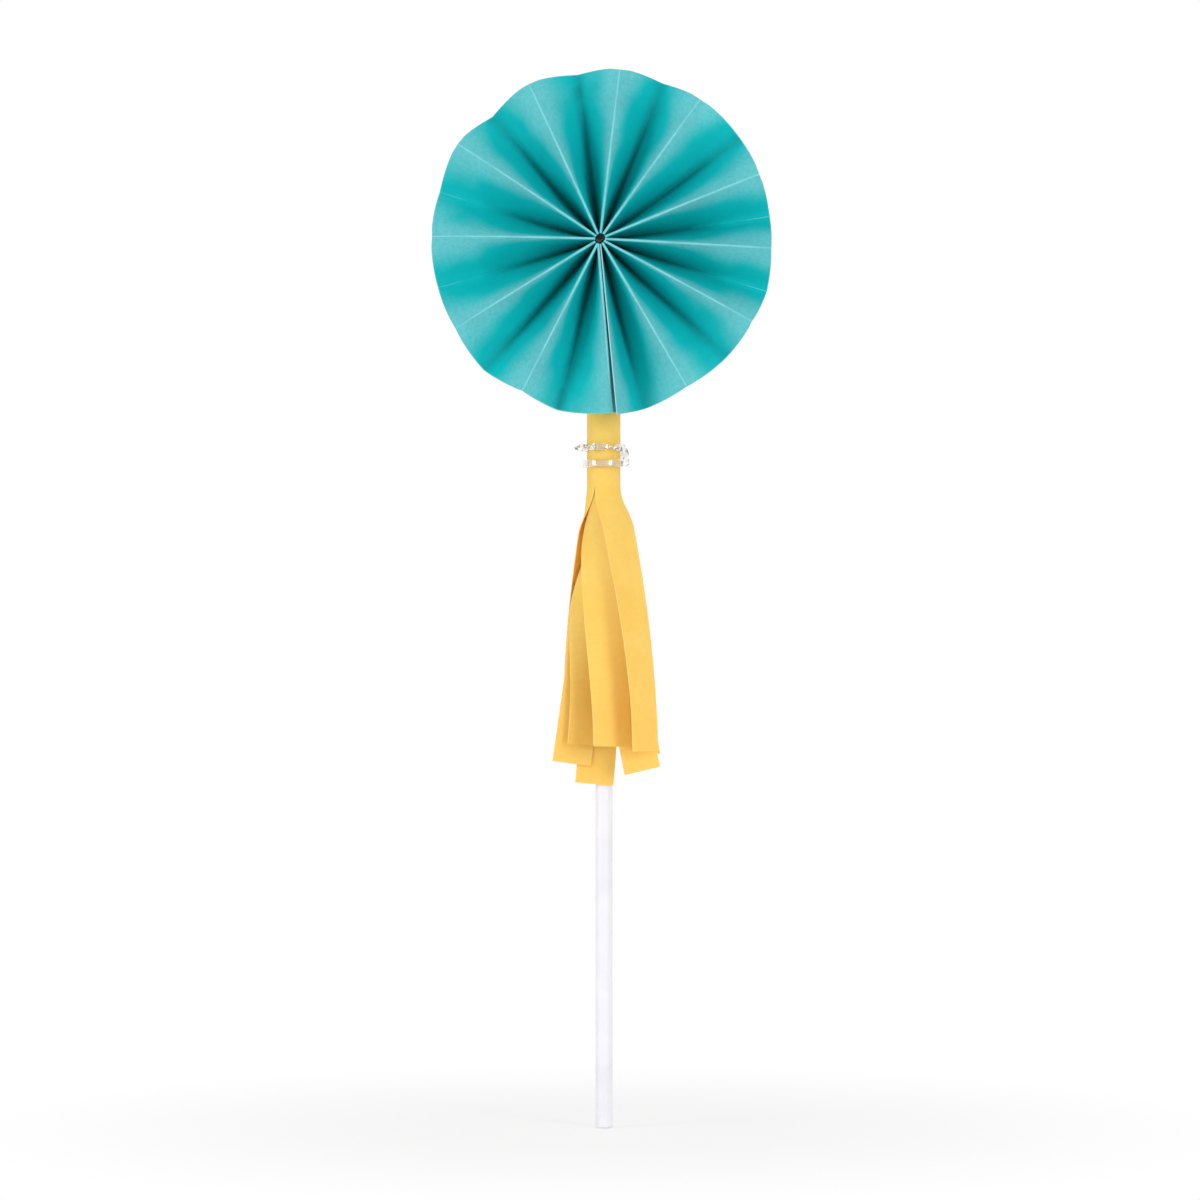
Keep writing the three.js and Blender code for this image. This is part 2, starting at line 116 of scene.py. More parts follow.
def makeSheet(name, front, back, uv, materials, backShift=0.0):
    # two grids joined round their four edges; the edge faces take the second material
    rows, columns = front.shape[:2]
    count = rows * columns
    index = np.arange(count).reshape(rows, columns)
    border = np.concatenate([index[0, :-1], index[:-1, -1], index[-1, :0:-1], index[:0:-1, 0]])
    following = np.roll(border, -1)
    faces = [
        gridFaces(rows, columns, flip=True),
        gridFaces(rows, columns, offset=count),
        np.stack([border, following, following + count, border + count], -1)[:, ::-1],
    ]
    normal = np.cross(front[1, 0] - front[0, 0], front[0, 1] - front[0, 0])
    if np.dot(normal, back[0, 0] - front[0, 0]) < 0:  # turn every face so that it points outwards
        faces = [f[:, ::-1] for f in faces]
    which = np.concatenate([np.zeros(len(faces[0]) + len(faces[1])), np.ones(len(faces[2]))])
    points = np.concatenate([front.reshape(-1, 3), back.reshape(-1, 3)])
    bothUv = np.concatenate([uv, uv + np.array([backShift, 0.0])]).reshape(-1, 2)
    return makePiece(name, points, np.concatenate(faces), materials, bothUv, which)


def smoothstep(value, low, high):
    # 0 before low, 1 after high and eased between them
    t = np.clip((value - low) / (high - low), 0, 1)
    return t * t * (3 - 2 * t)


# Materials

def paint(red, green, blue):
    # a screen colour, 0 to 255, as Blender's linear one
    return tuple(c / 12.92 if c <= 0.04045 else ((c + 0.055) / 1.055) ** 2.4
                 for c in (red / 255, green / 255, blue / 255)) + (1.0,)


class NodeTree:
    # short ways to add and link shader nodes

    def __init__(self, tree):
        self.tree = tree

    def add(self, kind, **settings):
        node = self.tree.nodes.new(kind)
        for key, value in settings.items():
            if key.startswith("in_"):
                self.feed(node.inputs[key[3:].replace("_", " ")], value)
            else:
                setattr(node, key, value)
        return node

    def feed(self, socket, value):
        if isinstance(value, bpy.types.NodeSocket):
            self.tree.links.new(value, socket)
        else:
            socket.default_value = value

    def math(self, operation, *values, clamp=False):
        node = self.tree.nodes.new("ShaderNodeMath")
        node.operation, node.use_clamp = operation, clamp
        for socket, value in zip(node.inputs, values):
            self.feed(socket, value)
        return node.outputs[0]

    def ramp(self, value, fromLow, fromHigh, toLow=0.0, toHigh=1.0, smooth=True):
        # carries a value from one range to another and clips it there
        node = self.tree.nodes.new("ShaderNodeMapRange")
        node.interpolation_type = "SMOOTHSTEP" if smooth else "LINEAR"
        for name, number in (("Value", value), ("From Min", fromLow), ("From Max", fromHigh),
                             ("To Min", toLow), ("To Max", toHigh)):
            self.feed(node.inputs[name], number)
        return node.outputs[0]

    def mix(self, factor, first, second, blend="MIX"):
        node = self.tree.nodes.new("ShaderNodeMix")
        node.data_type, node.blend_type = "RGBA", blend
        self.feed(node.inputs[0], factor)
        self.feed(node.inputs[6], first)
        self.feed(node.inputs[7], second)
        return node.outputs[2]

    def noise(self, vector, scale, detail=2.0, roughness=0.5):
        node = self.add("ShaderNodeTexNoise", in_Vector=vector, in_Scale=scale, in_Detail=detail,
                        in_Roughness=roughness)
        return node.outputs["Fac"]

    def group(self, group, **inputs):
        node = self.tree.nodes.new("ShaderNodeGroup")
        node.node_tree = group
        for key, value in inputs.items():
            self.feed(node.inputs[key], value)
        return node


def newGroup(name, inputs, outputs):
    # an empty node group with these sockets, and short ways into it
    group = bpy.data.node_groups.new(name, "ShaderNodeTree")
    for socketName, kind, default in inputs:
        socket = group.interface.new_socket(name=socketName, in_out="INPUT",
                                            socket_type="NodeSocket" + kind)
        if default is not None:
            socket.default_value = default
    for socketName, kind in outputs:
        group.interface.new_socket(name=socketName, in_out="OUTPUT",
                                   socket_type="NodeSocket" + kind)
    nodes = NodeTree(group)
    return group, nodes, nodes.add("NodeGroupInput").outputs, nodes.add("NodeGroupOutput").inputs


def paperGrainGroup():
    # fibres: noise stretched along the sheet; felt: rounder noise; mottle: slow changes of tone
    group, n, given, out = newGroup("paperGrain", [("Vector", "Vector", None), ("Fibre", "Float", 2600.0)],
                                    [("Height", "Float"), ("Mottle", "Float")])
    stretched = n.add("ShaderNodeMapping", in_Vector=given["Vector"], in_Scale=(1.0, 0.45, 1.0))
    fibres = n.noise(stretched.outputs[0], given["Fibre"], detail=3.0, roughness=0.6)
    felt = n.noise(given["Vector"], n.math("MULTIPLY", given["Fibre"], 0.4), detail=2.0)
    slow = n.noise(given["Vector"], n.math("MULTIPLY", given["Fibre"], 0.05), detail=2.0)
    n.feed(out["Height"], n.math("ADD", n.math("MULTIPLY", fibres, 0.6), n.math("MULTIPLY", felt, 0.4)))
    n.feed(out["Mottle"], n.math("ADD", n.math("MULTIPLY", felt, 0.35), n.math("MULTIPLY", slow, 0.65)))
    return group


def edgeWearGroup():
    # a mask that is 1 at a distance of nothing and fades out over Width, ragged by noise
    group, n, given, out = newGroup("edgeWear", [("Distance", "Float", 0.0), ("Width", "Float", 0.0003),
                                                 ("Vector", "Vector", None), ("Ragged", "Float", 0.5)],
                                    [("Mask", "Float")])
    rough = n.noise(given["Vector"], 1400.0, detail=3.0)
    sway = n.math("MULTIPLY", n.math("SUBTRACT", rough, 0.5),
                  n.math("MULTIPLY", given["Ragged"], given["Width"]))
    n.feed(out["Mask"], n.ramp(n.math("ADD", given["Distance"], sway),
                               n.math("MULTIPLY", given["Width"], 0.2), given["Width"], 1.0, 0.0))
    return group


paperGrain = paperGrainGroup()
edgeWear = edgeWearGroup()


def newMaterial(name, roughness, specular=0.5, color=None):
    # a material with its Principled shader and short ways to add nodes
    material = bpy.data.materials.new(name)
    material.use_nodes = True
    shader = material.node_tree.nodes["Principled BSDF"]
    shader.inputs["Roughness"].default_value = roughness
    shader.inputs["Specular IOR Level"].default_value = specular
    if color:
        shader.inputs["Base Color"].default_value = color
    return material, NodeTree(material.node_tree), shader


def mottledRoughness(n, shader, grain, middle, below):
    # the roughness follows the paper's slow changes of tone, from a little below its middle value to a
    # little above it
    n.feed(shader.inputs["Roughness"], n.ramp(grain.outputs["Mottle"], 0.3, 0.7, middle - below,
                                              middle + 0.08, smooth=False))


def addBump(n, shader, height, distance, strength=1.0):
    bump = n.add("ShaderNodeBump", in_Height=height, in_Distance=distance, in_Strength=strength)
    n.feed(shader.inputs["Normal"], bump.outputs[0])


tealInk = {
    "deep": paint(0, 175, 179),       # where the ink is whole
    "paintedValleyShade": paint(0, 116, 121),     # painted shade: darker beside the valley folds, standing in for the shade in the deep valleys
    "litAndRubbed": paint(98, 187, 193),    # painted light: paler towards the ridges, where the panels face the lamps; on the card, pale rubbed marks
    "fold": paint(126, 204, 211),     # where the ink cracked along a ridge and shows the white paper
    "core": paint(160, 208, 211),     # the cut edge of the paper
    "ridgeLightReach": 9.4, "ridgeLightGrowth": 1.5, "paintedShadeReach": 3.0, "paintedShadeStrength": 0.85,
    "foldWidth": 0.4, "valleyWidth": 0.22, "rimWidth": 0.22, "rimStrength": 0.35,
    "flatFrom": 1.3, "flatTo": 1.9,   # panel widths from the middle of a flat stretch
    "roughness": 0.7, "specular": 0.12, "grainHeight": 0.02,
}


def tealPaperMaterial(panelWidth, foldLength, panels):
    # U runs along the strip and V from the hole to the rim, so the folds lie at whole panel widths in U:
    # a distance from a fold is a triangle wave of U, and each mark is a mask of that distance
    material, n, shader = newMaterial("tealPaper", tealInk["roughness"], tealInk["specular"])
    uv = n.add("ShaderNodeUVMap", uv_map="sheet").outputs[0]
    parts = n.add("ShaderNodeSeparateXYZ", in_Vector=uv).outputs
    ridgeDistance = n.math("PINGPONG", parts[0], panelWidth * mm)
    valleyDistance = n.math("SUBTRACT", panelWidth * mm, ridgeDistance)
    grain = n.group(paperGrain, Vector=uv)
    outward = n.math("DIVIDE", parts[1], foldLength * mm)
    slow = n.noise(uv, 90.0, detail=1.0)
    # painted light beside each ridge, standing in for the sheen on the panels that face the lamps; it
    # widens towards the rim
    growth = n.math("POWER", outward, tealInk["ridgeLightGrowth"])
    reach = n.math("MULTIPLY", tealInk["ridgeLightReach"] * mm,
                   n.math("MULTIPLY", growth, n.ramp(slow, 0.3, 0.7, 0.75, 1.2)))
    paintedRidgeLight = n.ramp(n.math("DIVIDE", ridgeDistance, reach), 0.15, 1.15, 1.0, 0.0)
    # the flattest valleys, a quarter round on either side, get no painted shade, and have cracked a little
    # at the rim
    fromMiddle = n.math("ABSOLUTE", n.math("SUBTRACT", parts[0], panels // 2 * panelWidth * mm))
    fromFlat = n.math("ABSOLUTE", n.math("SUBTRACT", fromMiddle, panels // 4 * panelWidth * mm))
    flat = n.ramp(fromFlat, tealInk["flatFrom"] * panelWidth * mm, tealInk["flatTo"] * panelWidth * mm,
                  1.0, 0.0)
    # painted shade beside each valley fold, strongest at the fold and fading over its reach
    valleyShade = n.ramp(valleyDistance, 0.0, tealInk["paintedShadeReach"] * mm, tealInk["paintedShadeStrength"], 0.0)
    smooth = n.math("MULTIPLY", flat, n.ramp(outward, 0.3, 0.75, 0.0, 0.85))
    # the painted shade in the other valleys is plainest halfway out, and in some of them reaches the rim
    plain = n.math("MULTIPLY", n.ramp(outward, 0.1, 0.6, 0.3, 1.0), n.math(
        "MAXIMUM", n.ramp(outward, 0.6, 0.95, 1.0, 0.45), n.ramp(slow, 0.45, 0.65, 0.0, 0.8)))
    valleyShade = n.math("MULTIPLY", valleyShade, n.math("SUBTRACT", plain, smooth, clamp=True))
    ink = n.mix(valleyShade, tealInk["deep"], tealInk["paintedValleyShade"])
    fibres = n.ramp(grain.outputs["Height"], 0.35, 0.65, 0.7, 1.15, smooth=False)
    ink = n.mix(n.math("MULTIPLY", paintedRidgeLight, fibres, clamp=True), ink, tealInk["litAndRubbed"])
    tone = n.ramp(grain.outputs["Mottle"], 0.3, 0.7, 0.93, 1.07, smooth=False)
    grey = n.add("ShaderNodeCombineColor", in_Red=tone, in_Green=tone, in_Blue=tone).outputs[0]
    ink = n.mix(1.0, ink, grey, "MULTIPLY")
    ridgeLine = n.group(edgeWear, Distance=ridgeDistance, Width=tealInk["foldWidth"] * mm, Vector=uv,
                        Ragged=0.7).outputs[0]
    lineStrength = n.ramp(n.noise(uv, 160.0, detail=2.0), 0.3, 0.65, 0.4, 0.95)
    valleyLine = n.group(edgeWear, Distance=valleyDistance, Width=tealInk["valleyWidth"] * mm, Vector=uv,
                         Ragged=0.8).outputs[0]
    atRim = n.ramp(outward, 0.8, 0.92, 0.0, 0.6)
    valleyLine = n.math("MULTIPLY", valleyLine, n.math("MULTIPLY", flat, atRim))
    rimLine = n.group(edgeWear, Distance=n.math("SUBTRACT", foldLength * mm, parts[1]),
                      Width=tealInk["rimWidth"] * mm, Vector=uv, Ragged=0.6).outputs[0]
    worn = n.math("MAXIMUM", n.math("MULTIPLY", ridgeLine, lineStrength),
                  n.math("MAXIMUM", valleyLine, n.math("MULTIPLY", rimLine, tealInk["rimStrength"])))
    n.feed(shader.inputs["Base Color"], n.mix(worn, ink, tealInk["fold"]))
    mottledRoughness(n, shader, grain, tealInk["roughness"], 0.05)
    addBump(n, shader, grain.outputs["Height"], tealInk["grainHeight"] * mm, 0.6)
    return material


def paperCoreMaterial(name, color):
    # the cut edge of a sheet: bare fibres
    material, n, shader = newMaterial(name, 0.85, 0.25)
    place = n.add("ShaderNodeTexCoord").outputs["Object"]
    grain = n.group(paperGrain, Vector=place, Fibre=5200.0)
    n.feed(shader.inputs["Base Color"], n.mix(n.ramp(grain.outputs["Mottle"], 0.35, 0.65, 0.0, 0.12), color,
                                              tuple(c * 0.8 for c in color[:3]) + (1.0,)))
    addBump(n, shader, grain.outputs["Height"], 0.015 * mm, 0.6)
    return material


yellowSheet = {
    "main": paint(244, 196, 84), "thin": paint(247, 203, 99),
    "edge": paint(252, 213, 126),     # its flecks and its cut edges
    "roughness": 0.72, "specular": 0.6, "edgeWidth": 0.3, "edgeStrength": 0.45,
    "creaseDepth": 2.4, "creasedFrom": 42.0, "creasedTo": 56.0,  # down a strip
    "glow": 0.25, "glowReach": 0.6,   # how far light wanders inside the paper
}


def yellowPaperMaterial(name, sheetWidth=None, wrinkleDepth=1.2):
    # dyed through: V runs down the strip and U across it, with nothing in its middle
    material, n, shader = newMaterial(name, yellowSheet["roughness"], yellowSheet["specular"])
    uv = n.add("ShaderNodeUVMap", uv_map="sheet").outputs[0]
    grain = n.group(paperGrain, Vector=uv, Fibre=2200.0)
    color = n.mix(n.ramp(grain.outputs["Mottle"], 0.32, 0.68), yellowSheet["main"], yellowSheet["thin"])
    fleck = n.ramp(n.noise(uv, 900.0, detail=3.0, roughness=0.7), 0.62, 0.78, 0.0, 0.35)
    color = n.mix(fleck, color, yellowSheet["edge"])
    parts = n.add("ShaderNodeSeparateXYZ", in_Vector=uv).outputs
    creased = yellowSheet["creaseDepth"]
    if sheetWidth:
        inside = n.math("SUBTRACT", sheetWidth / 2 * mm, n.math("ABSOLUTE", parts[0]))
        edge = n.group(edgeWear, Distance=inside, Width=yellowSheet["edgeWidth"] * mm, Vector=uv,
                       Ragged=0.8).outputs[0]
        color = n.mix(n.math("MULTIPLY", edge, yellowSheet["edgeStrength"]), color, yellowSheet["edge"])
        creased = n.ramp(parts[1], yellowSheet["creasedFrom"] * mm, yellowSheet["creasedTo"] * mm, 0.0,
                         creased)
    n.feed(shader.inputs["Base Color"], color)
    mottledRoughness(n, shader, grain, yellowSheet["roughness"], 0.06)
    softly = n.add("ShaderNodeMapping", in_Vector=uv, in_Scale=(0.5, 1.6, 1.0)).outputs[0]
    wrinkles = n.noise(softly, 260.0, detail=2.0)
    # low creases across the sheet: all over the roll, on a strip only at its end
    crosswise = n.add("ShaderNodeMapping", in_Vector=uv, in_Scale=(0.15, 1.0, 1.0)).outputs[0]
    creases = n.noise(crosswise, 850.0, detail=1.0)
    height = n.math("ADD", n.math("MULTIPLY", wrinkles, wrinkleDepth), n.math("MULTIPLY", creases, creased))
    height = n.math("ADD", n.math("MULTIPLY", grain.outputs["Height"], 0.35), height)
    addBump(n, shader, height, 0.05 * mm, 0.5)
    # light wanders inside the dyed paper, red the furthest, which turns narrow shadows orange
    shader.inputs["Subsurface Weight"].default_value = yellowSheet["glow"]
    shader.inputs["Subsurface Radius"].default_value = (1.0, 0.4, 0.08)
    shader.inputs["Subsurface Scale"].default_value = yellowSheet["glowReach"] * mm
    return material


def cardMaterial(thin, thick):
    # the disc behind the fan: much the same ink on thicker board, with rubbed marks
    material, n, shader = newMaterial("tealCard", 0.7, 0.3)
    place = n.add("ShaderNodeTexCoord").outputs["Object"]
    grain = n.group(paperGrain, Vector=place, Fibre=1900.0)
    marks = n.ramp(n.noise(place, 240.0, detail=4.0, roughness=0.65), 0.56, 0.74, 0.0, 0.4)
    color = n.mix(n.ramp(grain.outputs["Mottle"], 0.3, 0.7), thick, thin)
    n.feed(shader.inputs["Base Color"], n.mix(marks, color, tealInk["litAndRubbed"]))
    addBump(n, shader, grain.outputs["Height"], 0.03 * mm, 0.6)
    return material


def milkyPlasticMaterial(thin, thick):
    # extruded polypropylene: fine lines along the stick, a faint cloud inside
    material, n, shader = newMaterial("milkyPlastic", 0.34, 0.5)
    place = n.add("ShaderNodeTexCoord").outputs["Object"]
    drawn = n.add("ShaderNodeMapping", in_Vector=place, in_Scale=(1.0, 1.0, 0.02)).outputs[0]
    lines = n.noise(drawn, 2600.0, detail=2.0)
    cloud = n.noise(place, 120.0, detail=2.0)
    n.feed(shader.inputs["Base Color"], n.mix(n.ramp(cloud, 0.3, 0.7), thin, thick))
    n.feed(shader.inputs["Roughness"], n.ramp(lines, 0.3, 0.7, 0.28, 0.42, smooth=False))
    addBump(n, shader, lines, 0.012 * mm, 0.5)
    shader.inputs["Subsurface Weight"].default_value = 0.35
    shader.inputs["Subsurface Radius"].default_value = (0.9, 0.9, 1.0)
    shader.inputs["Subsurface Scale"].default_value = 1.2 * mm
    return material


def clearMaterial(name, color, roughness, ior, waves, waveHeight, clarity=1.0, gloss=0.0):
    # colourless, with a slightly uneven skin; clarity below 1 makes it milky, and gloss adds a shiny coat
    material, n, shader = newMaterial(name, roughness, 0.5, color)
    place = n.add("ShaderNodeTexCoord").outputs["Object"]
    shader.inputs["IOR"].default_value = ior
    shader.inputs["Transmission Weight"].default_value = clarity
    shader.inputs["Coat Weight"].default_value = gloss
    shader.inputs["Coat Roughness"].default_value = 0.12
    shader.inputs["Coat IOR"].default_value = 1.65
    addBump(n, shader, n.noise(place, waves, detail=2.0), waveHeight * mm, 0.6)
    return material


def hotGlueMaterial(name, thin, thick):
    # cloudy set glue with fine pits and threads
    material, n, shader = newMaterial(name, 0.3, 0.5)
    place = n.add("ShaderNodeTexCoord").outputs["Object"]
    cloud = n.noise(place, 420.0, detail=3.0)
    n.feed(shader.inputs["Base Color"], n.mix(n.ramp(cloud, 0.3, 0.7), thin, thick))
    n.feed(shader.inputs["Roughness"], n.ramp(cloud, 0.3, 0.7, 0.22, 0.4))
    shader.inputs["Subsurface Weight"].default_value = 0.5
    shader.inputs["Subsurface Radius"].default_value = (1.0, 0.9, 0.7)
    shader.inputs["Subsurface Scale"].default_value = 2.0 * mm
    addBump(n, shader, n.noise(place, 900.0, detail=2.0), 0.05 * mm, 0.5)
    return material


# The fan

fan = {
    "centre": (-0.9, 197.0),  # across and up
    "holeRadius": 2.0, "ridgeHoleRadius": 1.15, "ridgeHoleStretch": 0.12, "ridgeHoleTurn": 35,
    "rimRadius": 38.0, "paper": 0.24, "foldRadius": 0.15, "frontInset": 0.1,
    "rimDepth": 5.6, "leastRimDepth": 2.0, "ridgeShare": 0.25, "bow": 0.5, "bowChange": 0.3,
    "valleyRounding": 1.45, "tipRounding": 0.3, "tipReach": 1.6, "tipThreshold": 0.6,
    # clockwise from the top, from the cut edge round to the seam; and how far out each fold reaches
    "cutEdge": 174.5,
    "valleys": [165.5, 132.5, 106.8, 81.8, 53.8, 21.6, -7.8, -41, -73.2, -106.3, -138.2, -166],
    "ridges": [149.5, 118.1, 93, 67.6, 35.4, 6.6, -24.4, -55.8, -88.6, -121.5, -152.9],
    "valleyReach": [38.5, 38.1, 38.6, 38.0, 38.3, 37.5, 37.0, 36.3, 37.0, 37.3, 38.5, 38.7],
    "ridgeReach": [37.7, 38.2, 37.8, 38.0, 38.1, 37.9, 37.9, 38.0, 37.2, 37.5, 37.6],
    "cutEdgeReach": 38.8, "seamReach": 38.3,
    "seamStep": 0.5, "seamStepGrowth": 0.012, "tabLeastWidth": 0.5, "tabWidth": 8.0,
    "rows": 56, "panelSteps": 12, "arcSteps": 6, "tabSteps": 4,
}


def fanProfiles():
    # Each row is the strip's middle line at one share of the way out: straight panels between the folds,
    # whose depth is what the panel's width leaves at that radius, joined by small arcs round each fold.
    share = np.linspace(0, 1, fan["rows"])[:, None]
    panels = 2 * len(fan["valleys"])
    folds = panels + 1  # the cut edge is the first and the seam's fold the last
    angles = np.empty(folds)
    angles[0], angles[1::2], angles[2:-1:2], angles[-1] = (
        fan["cutEdge"], fan["valleys"], fan["ridges"], fan["cutEdge"] - 360)
    reach = np.empty(folds)
    reach[0], reach[1::2], reach[2:-1:2], reach[-1] = (
        fan["cutEdgeReach"], fan["valleyReach"], fan["ridgeReach"], fan["seamReach"])
    isValley = np.arange(folds) % 2 == 1
    between = np.radians(np.concatenate([[angles[0] - angles[1]], (angles[:-2] - angles[2:]) / 2,
                                         [angles[-2] - angles[-1]]]))
    halfPanel = math.radians(360 / panels / 2)
    width = math.hypot(2 * fan["rimRadius"] * math.sin(halfPanel), fan["rimDepth"])
    oval = fan["ridgeHoleRadius"] + fan["ridgeHoleStretch"] * np.cos(
        2 * np.radians(angles - fan["ridgeHoleTurn"]))
    inmost = np.where(isValley, fan["holeRadius"], oval)
    radius = inmost + share * (reach - inmost)
    left = width ** 2 - (2 * radius * np.sin(between / 2)) ** 2
    loss = np.where(isValley, 1 - fan["ridgeShare"], fan["ridgeShare"]) * (
        width - np.sqrt(np.maximum(left, fan["leastRimDepth"] ** 2)))
    bend = fan["foldRadius"]
    depth = np.where(isValley, width - loss - bend, loss + bend)
    along = -np.radians(angles) * radius
    along[:, -1] -= fan["seamStep"] + fan["seamStepGrowth"] * radius[:, -1]
    centre = np.stack([along, depth], -1)

    # a ridge bends round the front of its centre, a valley round the back
    side = np.where(isValley, 1.0, -1.0)
    side[0] = 0.0
    step = centre[:, 1:] - centre[:, :-1]
    length = np.linalg.norm(step, axis=-1, keepdims=True)
    direct = step / length
    sine = ((side[1:] - side[:-1]) * bend)[None, :, None] / length
    normalDirect = np.stack([-direct[..., 1], direct[..., 0]], -1)
    direction = np.sqrt(1 - sine ** 2) * direct + sine * normalDirect
    direction = np.concatenate([direction, direction[:, :1]], 1)  # the glue tab follows the first panel
    normal = np.stack([-direction[..., 1], direction[..., 0]], -1)
    start = centre + side[None, :, None] * bend * normal
    end = centre[:, 1:] + side[None, 1:, None] * bend * normal[:, :-1]

    # towards the rim the valleys are rounded, by as much as their walls are steep, and the ridges that
    # stand out furthest have their tips rounded off
    steep = np.minimum(np.abs(step[..., 1] / step[..., 0]), 2.0)
    raised = np.zeros_like(radius)
    raised[:, 1::2] = fan["valleyRounding"] * share ** 2 * (steep[:, 0::2] + steep[:, 1::2]) / 2
    standsOut = np.zeros(folds)
    beside = (reach[1:-2:2] + reach[3::2]) / 2
    standsOut[2:-1:2] = np.clip(reach[2:-1:2] - beside + fan["tipThreshold"], 0, 1)
    rounded = fan["tipRounding"] * share ** 3 * standsOut
    columns, radii, across = [], [], []
    arcReach = bend * math.pi / 2
    for panel in range(panels):
        t = np.linspace(0, 1, fan["panelSteps"] + 1)
        line = start[:, panel, None] + t[None, :, None] * (end[:, panel] - start[:, panel])[:, None]
        swell = fan["bow"] * (1 + fan["bowChange"] * math.sin(2.3 * panel)) * share ** 1.5
        line[..., 1] -= swell * 16 * (t * (1 - t))[None] ** 2
        columns.append(line)
        fold = panel + 1
        ridge, valley = (panel, fold) if panel % 2 == 0 else (fold, panel)
        fromRidge = width * (t if panel % 2 == 0 else 1 - t)
        line[..., 1] -= raised[:, valley, None] * np.exp(-(width - fromRidge) / fan["valleyRounding"])
        radii.append(radius[:, panel, None] + t[None] * (radius[:, fold] - radius[:, panel])[:, None]
                     - rounded[:, ridge, None] * np.exp(-(fromRidge / fan["tipReach"]) ** 2))
        firstArc = arcReach if panel > 0 else 0.0
        across.append(panel * width + firstArc + t * (width - arcReach - firstArc))
        before, after = normal[:, fold - 1], normal[:, fold]
        turn = np.arctan2(before[:, 0] * after[:, 1] - before[:, 1] * after[:, 0],
                          (before * after).sum(-1))
        turn = -((-turn) % (2 * math.pi)) if isValley[fold] else turn % (2 * math.pi)
        inner = np.linspace(0, 1, fan["arcSteps"] + 1)[1:-1]
        bearing = np.arctan2(before[:, 1], before[:, 0])[:, None] + turn[:, None] * inner
        bent = np.stack([np.cos(bearing), np.sin(bearing)], -1)
        arc = centre[:, fold, None] + side[fold] * bend * bent
        if isValley[fold]:
            level = (end[:, panel, 1] + start[:, fold, 1])[:, None] / 2
            arc[..., 1] += share ** 2 * (level - arc[..., 1]) - raised[:, fold, None]
        columns.append(arc)
        radii.append(np.repeat((radius - rounded)[:, fold, None], len(inner), 1))
        across.append(fold * width - arcReach + 2 * arcReach * inner)
    t = np.linspace(0, 1, fan["tabSteps"] + 1)
    tab = fan["tabLeastWidth"] + (fan["tabWidth"] - fan["tabLeastWidth"]) * np.minimum(share / 0.8, 1)
    columns.append(start[:, -1, None] + (t[None] * tab)[..., None] * direction[:, -1, None])
    radii.append(np.repeat(radius[:, -1, None], len(t), 1))
    across.append(panels * width + arcReach + t * fan["tabWidth"])
    return share, np.concatenate(columns, 1), np.concatenate(radii, 1), np.concatenate(across), width


def makeFan():
    # each row of the profile is wound round the fan's axis: what it runs along becomes an angle
    share, profile, radius, across, panelWidth = fanProfiles()
    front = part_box("pleated_fan")[0].y / mm + fan["frontInset"]
    angle = -profile[..., 0] / radius
    grid = np.stack([fan["centre"][0] + radius * np.sin(angle), front + profile[..., 1],
                     fan["centre"][1] + radius * np.cos(angle)], -1)
    normals = gridNormals(grid)
    half = fan["paper"] / 2
    foldLength = fan["rimRadius"] - fan["holeRadius"]
    uv = np.stack(np.broadcast_arrays(across[None] * mm, share * foldLength * mm), -1)
    facing = -1 if normals[fan["rows"] // 2, 3, 1] > 0 else 1
    # seen from behind the valleys are the ridges, so there the print's wear, the painted ridge light and
    # the painted valley shade lie one panel further on
    materials = [tealPaperMaterial(panelWidth, foldLength, 2 * len(fan["valleys"])),
                 paperCoreMaterial("tealPaperCore", tealInk["core"])]
    piece = makeSheet("fan", grid + facing * half * normals, grid - facing * half * normals, uv,
                      materials, backShift=panelWidth * mm)
    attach(piece, "topper")
    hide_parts("pleated_fan")
    return piece


makeFan()
print("fan made")


# The disc and the glue behind the fan

back = {
    "discRadius": 12.5, "discFront": -2.5, "discBack": -2.1, "edgeRounding": 0.06, "sectors": 128,
    "card": {"thin": paint(48, 186, 191), "thick": paint(20, 176, 181)},
    "dabCentre": 194.0, "dabHalf": (4.4, 9.5), "dabHeight": 4.9, "dabBase": -2.06,
    "dabGlue": {"thin": paint(228, 224, 209), "thick": paint(240, 238, 228)},
    # painted shade: the glue seen in the fan's hole is dark grey, standing in for the shade inside the hole
    "hubGlue": {"thin": paint(128, 142, 142), "thick": paint(176, 184, 182)},
    "tape": {"color": paint(246, 243, 232), "roughness": 0.25, "ior": 1.45, "waves": 500.0,
             "waveHeight": 0.02},
}


def makeDisc():
    # a flat profile with rounded edges, turned round the fan's axis
    r, e = back["discRadius"], back["edgeRounding"]
    middle = (back["discFront"] + back["discBack"]) / 2
    half = (back["discBack"] - back["discFront"]) / 2
    turn = np.linspace(-math.pi / 2, math.pi / 2, 9)
    edgeOut = r - e + e * np.cos(turn)
    edgeBack = middle + np.sign(turn) * (half - e) + e * np.sin(turn)
    radii = np.concatenate([np.linspace(0.001, r - e, 6)[:-1], edgeOut, np.linspace(r - e, 0.001, 6)[1:]])
    depth = np.concatenate([np.full(5, middle - half), edgeBack, np.full(5, middle + half)])
    sectors = back["sectors"]
    around = np.linspace(0, 2 * math.pi, sectors, endpoint=False)
    points = np.stack([fan["centre"][0] + radii[:, None] * np.sin(around),
                       np.repeat(depth[:, None], sectors, 1),
                       fan["centre"][1] + radii[:, None] * np.cos(around)], -1)
    return makePiece("backingDisc", points, gridFaces(len(radii), sectors, wrapColumns=True),
                     [cardMaterial(**back["card"])], sharpAngle=60)


def closePoles(piece):
    # welds the two tiny rings at the ends of a turned profile into points, and turns the faces outwards
    mesh = bmesh.new()
    mesh.from_mesh(piece.data)
    bmesh.ops.remove_doubles(mesh, verts=mesh.verts, dist=2e-6)
    bmesh.ops.recalc_face_normals(mesh, faces=mesh.faces)
    mesh.to_mesh(piece.data)
    mesh.free()
    piece.data.update()


disc = makeDisc()
closePoles(disc)
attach(disc, "topper")
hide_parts("backing_disc")


